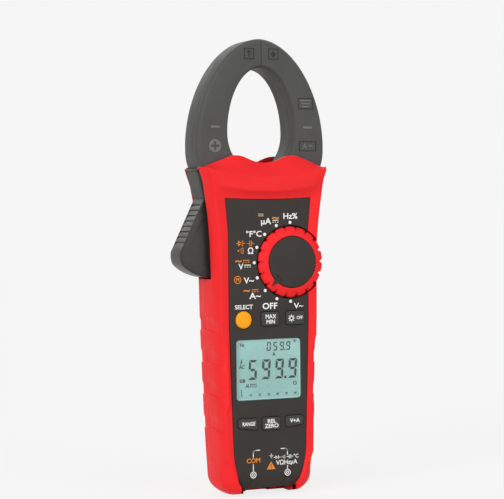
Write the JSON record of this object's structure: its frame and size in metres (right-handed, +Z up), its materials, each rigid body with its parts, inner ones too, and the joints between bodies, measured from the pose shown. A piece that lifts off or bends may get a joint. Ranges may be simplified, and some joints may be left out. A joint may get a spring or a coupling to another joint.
{
  "type": "clamp meter",
  "caption": "Hand-held clamp meter: oval split jaw opened by a side trigger, rotary switch, keys, display, and sockets in the lower end.",
  "frame": {"origin": "under the middle of the meter's box, at the bottom of its two feet", "axes": "+Z up the meter towards the jaw, -Y out of the front panel, +X to the right as the user sees it"},
  "size_m": [0.0942, 0.0414, 0.2718],
  "materials": {
    "red_shell": "satin moulded, slightly soft to the touch",
    "panel_dark": "fine matt texture",
    "jaw_grey": "fine matt texture",
    "trigger_black": "satin",
    "key_grey": "satin silicone",
    "key_yellow": "satin silicone",
    "lens": "clear",
    "lcd": "pale teal",
    "diffuser": "milky",
    "indicator": "smoky",
    "board": "solder mask",
    "silicone": "matt",
    "nylon": "natural",
    "steel": "zinc plated",
    "brass": "turned",
    "core": "laminated",
    "cell": "plain printed sleeve",
    "moulding_black": "moulded",
    "seal": "matt"
  },
  "bodies": {
    "case": {"front_case": "red_shell", "rear_case": "red_shell", "front_panel": "panel_dark", "display_window": "lens", "display_module": "lcd", "display_backlight": "diffuser", "indicator_window": "indicator", "keypad_mat_upper": "silicone", "keypad_mat_lower": "silicone", "main_board": "board", "buzzer": "moulding_black", "terminal_block": "moulding_black", "common_contact": "brass", "input_contact": "brass", "battery_tray": "moulding_black", "battery_1": "cell", "battery_2": "cell", "battery_3": "cell", "battery_contact_upper": "steel", "battery_contact_lower": "steel", "case_screw_1": "steel", "case_screw_2": "steel", "case_screw_3": "steel", "case_screw_4": "steel", "jaw_screw_1": "steel", "jaw_screw_2": "steel", "jaw_pivot_pin": "steel", "case_seal_left": "seal", "case_seal_right": "seal", "fixed_jaw_front": "jaw_grey", "fixed_jaw_rear": "jaw_grey", "fixed_core": "core", "field_sensor": "moulding_black", "trigger_spring": "steel"},
    "moving_jaw": {"moving_jaw_front": "jaw_grey", "moving_jaw_rear": "jaw_grey", "moving_core": "core", "trigger": "trigger_black"},
    "knob": {"knob_ring": "red_shell", "knob_cap": "panel_dark", "switch_rotor": "nylon", "switch_wiper": "brass"},
    "select_key": {"select_button": "key_yellow"},
    "max_min_key": {"max_min_button": "key_grey"},
    "light_key": {"light_button": "key_grey"},
    "range_key": {"range_button": "key_grey"},
    "zero_key": {"zero_button": "key_grey"},
    "inrush_key": {"inrush_button": "key_grey"},
    "battery_lid": {"battery_cover": "red_shell", "cover_screw_1": "steel", "cover_screw_2": "steel"}
  },
  "joints": [
    {"name": "jaw_hinge", "type": "hinge", "parent": "case", "child": "moving_jaw", "pos_m": [-0.0222, 0.00075, 0.178], "axis": [0, -1, 0], "range_deg": [0, 26], "stiffness_Nm_per_rad": 1.1, "springref_deg": -17.19, "deforming": ["trigger_spring"]},
    {"name": "knob_turn", "type": "hinge", "parent": "case", "child": "knob", "pos_m": [0.019, -0.01725, 0.1388], "axis": [0, -1, 0], "range_deg": [-135, 45]},
    {"name": "select_press", "type": "slide", "parent": "case", "child": "select_key", "axis": [0, 1, 0], "range_m": [0, 0.001], "stiffness_N_per_m": 1000, "springref_m": -0.0005},
    {"name": "max_min_press", "type": "slide", "parent": "case", "child": "max_min_key", "axis": [0, 1, 0], "range_m": [0, 0.001], "stiffness_N_per_m": 1000, "springref_m": -0.0005},
    {"name": "light_press", "type": "slide", "parent": "case", "child": "light_key", "axis": [0, 1, 0], "range_m": [0, 0.001], "stiffness_N_per_m": 1000, "springref_m": -0.0005},
    {"name": "range_press", "type": "slide", "parent": "case", "child": "range_key", "axis": [0, 1, 0], "range_m": [0, 0.001], "stiffness_N_per_m": 1000, "springref_m": -0.0005},
    {"name": "zero_press", "type": "slide", "parent": "case", "child": "zero_key", "axis": [0, 1, 0], "range_m": [0, 0.001], "stiffness_N_per_m": 1000, "springref_m": -0.0005},
    {"name": "inrush_press", "type": "slide", "parent": "case", "child": "inrush_key", "axis": [0, 1, 0], "range_m": [0, 0.001], "stiffness_N_per_m": 1000, "springref_m": -0.0005},
    {"name": "lid_slide", "type": "slide", "parent": "case", "child": "battery_lid", "axis": [0, 1, 0], "range_m": [0, 0.03]}
  ]
}
